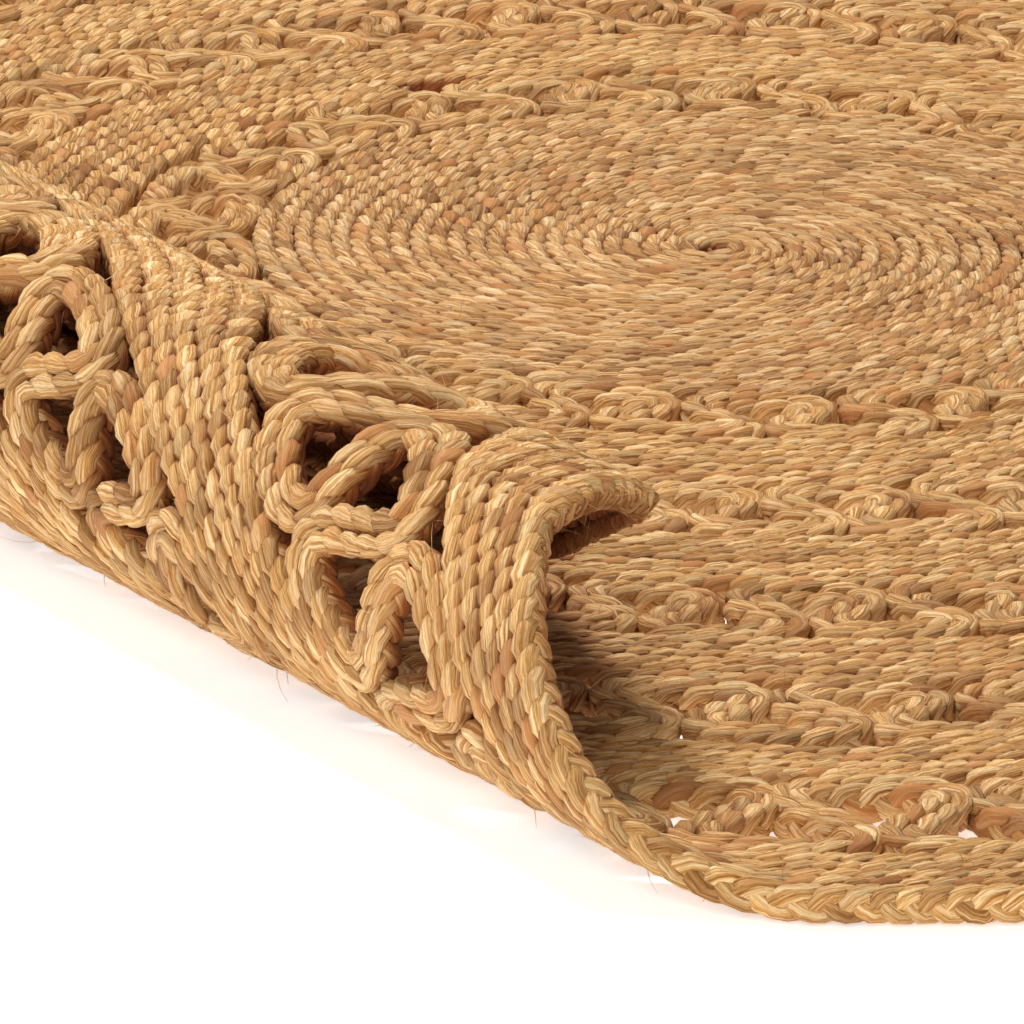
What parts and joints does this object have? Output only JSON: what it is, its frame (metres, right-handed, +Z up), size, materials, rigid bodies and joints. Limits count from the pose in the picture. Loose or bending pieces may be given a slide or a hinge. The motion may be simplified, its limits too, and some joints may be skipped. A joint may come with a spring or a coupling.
{
  "type": "round braided area rug",
  "caption": "Round flat rug of sewn natural braid: a wound centre, openwork looped rings between plain bands, and a rim, with one side curled up and over onto the rug.",
  "frame": {"origin": "on the floor, under the centre of the wound coil, on the rug's flat underside", "axes": "+Z up out of the rug's upper face; the curled side lies towards -X and -Y"},
  "size_m": [0.8795, 0.8969, 0.0739],
  "materials": {
    "coil_jute": "matte natural fibre braid, tightly wound",
    "lace_jute": "matte natural fibre braid, looped in openwork",
    "band_jute": "matte natural fibre braid, sewn turn to turn",
    "rim_jute": "matte natural fibre braid with loose fibres at the edge"
  },
  "bodies": {
    "root": {"centre_coil": "coil_jute", "lace_ring_1": "lace_jute", "plain_band_1": "band_jute", "lace_ring_2": "lace_jute", "plain_band_2": "band_jute", "lace_ring_3": "lace_jute", "plain_band_3": "band_jute", "lace_ring_4": "lace_jute", "plain_band_4": "band_jute", "lace_ring_5": "lace_jute", "rim_band": "rim_jute"}
  },
  "joints": []
}
